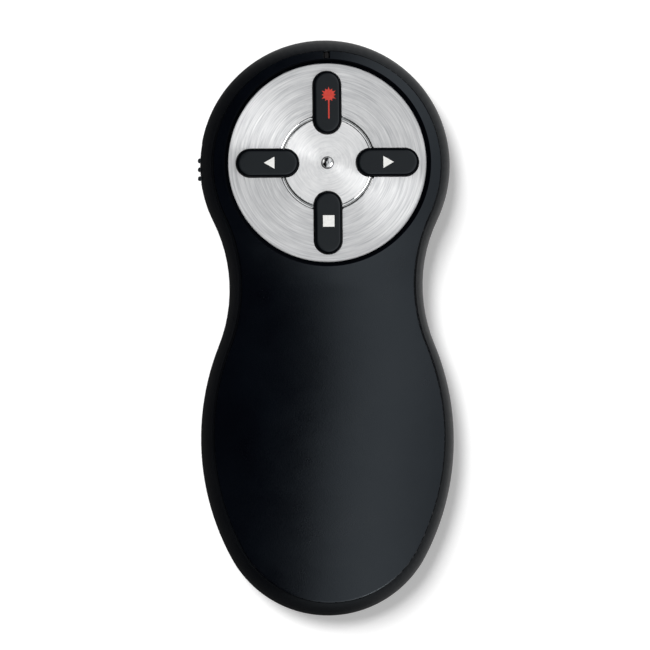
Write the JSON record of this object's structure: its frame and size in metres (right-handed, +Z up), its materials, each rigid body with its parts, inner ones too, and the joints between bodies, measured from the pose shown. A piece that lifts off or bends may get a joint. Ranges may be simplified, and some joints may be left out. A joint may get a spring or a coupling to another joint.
{
  "type": "wireless presentation clicker",
  "caption": "Hand-held wireless presenter: keys on a brushed disc, laser pointer, power slider, cell door and tail-docked USB receiver.",
  "frame": {"origin": "centre of the body's outline, on the flat underside that it rests on", "axes": "+Y towards the laser end, +Z up through the keys, +X to the right seen from above with the laser end away"},
  "size_m": [0.0507, 0.115, 0.025],
  "materials": {
    "cover_shell": "satin moulded, very fine texture",
    "housing_shell": "satin moulded, very fine texture",
    "door_shell": "fine moulded texture",
    "disc_metal": "spun brushed rings about the centre",
    "stud_metal": "polished",
    "key_plastic": "satin, printed symbols",
    "stem_plastic": "moulded",
    "switch_housing": "moulded",
    "board_laminate": "solder mask",
    "chip_epoxy": "moulded epoxy",
    "crystal_metal": "drawn can",
    "led_resin": "clear resin",
    "clear_plastic": "polished",
    "laser_brass": "turned",
    "diode_metal": "plated can",
    "lead_copper": "tinned wire",
    "slider_plastic": "moulded, three ribs",
    "cell_wrap": "plain printed wrap",
    "contact_steel": "nickel plated",
    "screw_steel": "zinc plated",
    "receiver_shell": "fine moulded texture",
    "plug_steel": "nickel plated",
    "tongue_plastic": "moulded",
    "plug_gold": "gold plated"
  },
  "bodies": {
    "housing": {"top_cover": "cover_shell", "lower_housing": "housing_shell", "trim_disc": "disc_metal", "centre_stud": "stud_metal", "laser_switch": "switch_housing", "back_switch": "switch_housing", "forward_switch": "switch_housing", "stop_switch": "switch_housing", "power_switch": "switch_housing", "main_board": "board_laminate", "radio_chip": "chip_epoxy", "crystal_can": "crystal_metal", "status_led": "led_resin", "light_pipe": "clear_plastic", "laser_window": "clear_plastic", "laser_lens": "clear_plastic", "laser_barrel": "laser_brass", "laser_diode": "diode_metal", "laser_leads": "lead_copper", "left_cell": "cell_wrap", "right_cell": "cell_wrap", "positive_contact": "contact_steel", "negative_contact": "contact_steel", "bridge_contact": "contact_steel", "left_spring": "contact_steel", "right_spring": "contact_steel", "head_screws": "screw_steel", "tail_screws": "screw_steel"},
    "laser_key": {"laser_key": "key_plastic", "laser_stem": "stem_plastic"},
    "back_key": {"back_key": "key_plastic", "back_stem": "stem_plastic"},
    "forward_key": {"forward_key": "key_plastic", "forward_stem": "stem_plastic"},
    "stop_key": {"stop_key": "key_plastic", "stop_stem": "stem_plastic"},
    "power_slider": {"power_slider": "slider_plastic", "power_lever": "stem_plastic"},
    "battery_door": {"battery_door": "door_shell"},
    "receiver": {"receiver_case": "receiver_shell", "receiver_collar": "receiver_shell", "receiver_board": "board_laminate", "receiver_chip": "chip_epoxy", "usb_shell": "plug_steel", "usb_tongue": "tongue_plastic", "usb_contacts": "plug_gold"}
  },
  "joints": [
    {"name": "laser_press", "type": "slide", "parent": "housing", "child": "laser_key", "axis": [0, 0, -1], "range_m": [0, 0.0005], "stiffness_N_per_m": 1500, "springref_m": -0.0003},
    {"name": "back_press", "type": "slide", "parent": "housing", "child": "back_key", "axis": [0, 0, -1], "range_m": [0, 0.0005], "stiffness_N_per_m": 1500, "springref_m": -0.0003},
    {"name": "forward_press", "type": "slide", "parent": "housing", "child": "forward_key", "axis": [0, 0, -1], "range_m": [0, 0.0005], "stiffness_N_per_m": 1500, "springref_m": -0.0003},
    {"name": "stop_press", "type": "slide", "parent": "housing", "child": "stop_key", "axis": [0, 0, -1], "range_m": [0, 0.0005], "stiffness_N_per_m": 1500, "springref_m": -0.0003},
    {"name": "power_slide", "type": "slide", "parent": "housing", "child": "power_slider", "axis": [0, 1, 0], "range_m": [0, 0.0025]},
    {"name": "door_slide", "type": "slide", "parent": "housing", "child": "battery_door", "axis": [0, -1, 0], "range_m": [0, 0.079]},
    {"name": "receiver_slide", "type": "slide", "parent": "housing", "child": "receiver", "axis": [0, -1, 0], "range_m": [0, 0.031]}
  ]
}
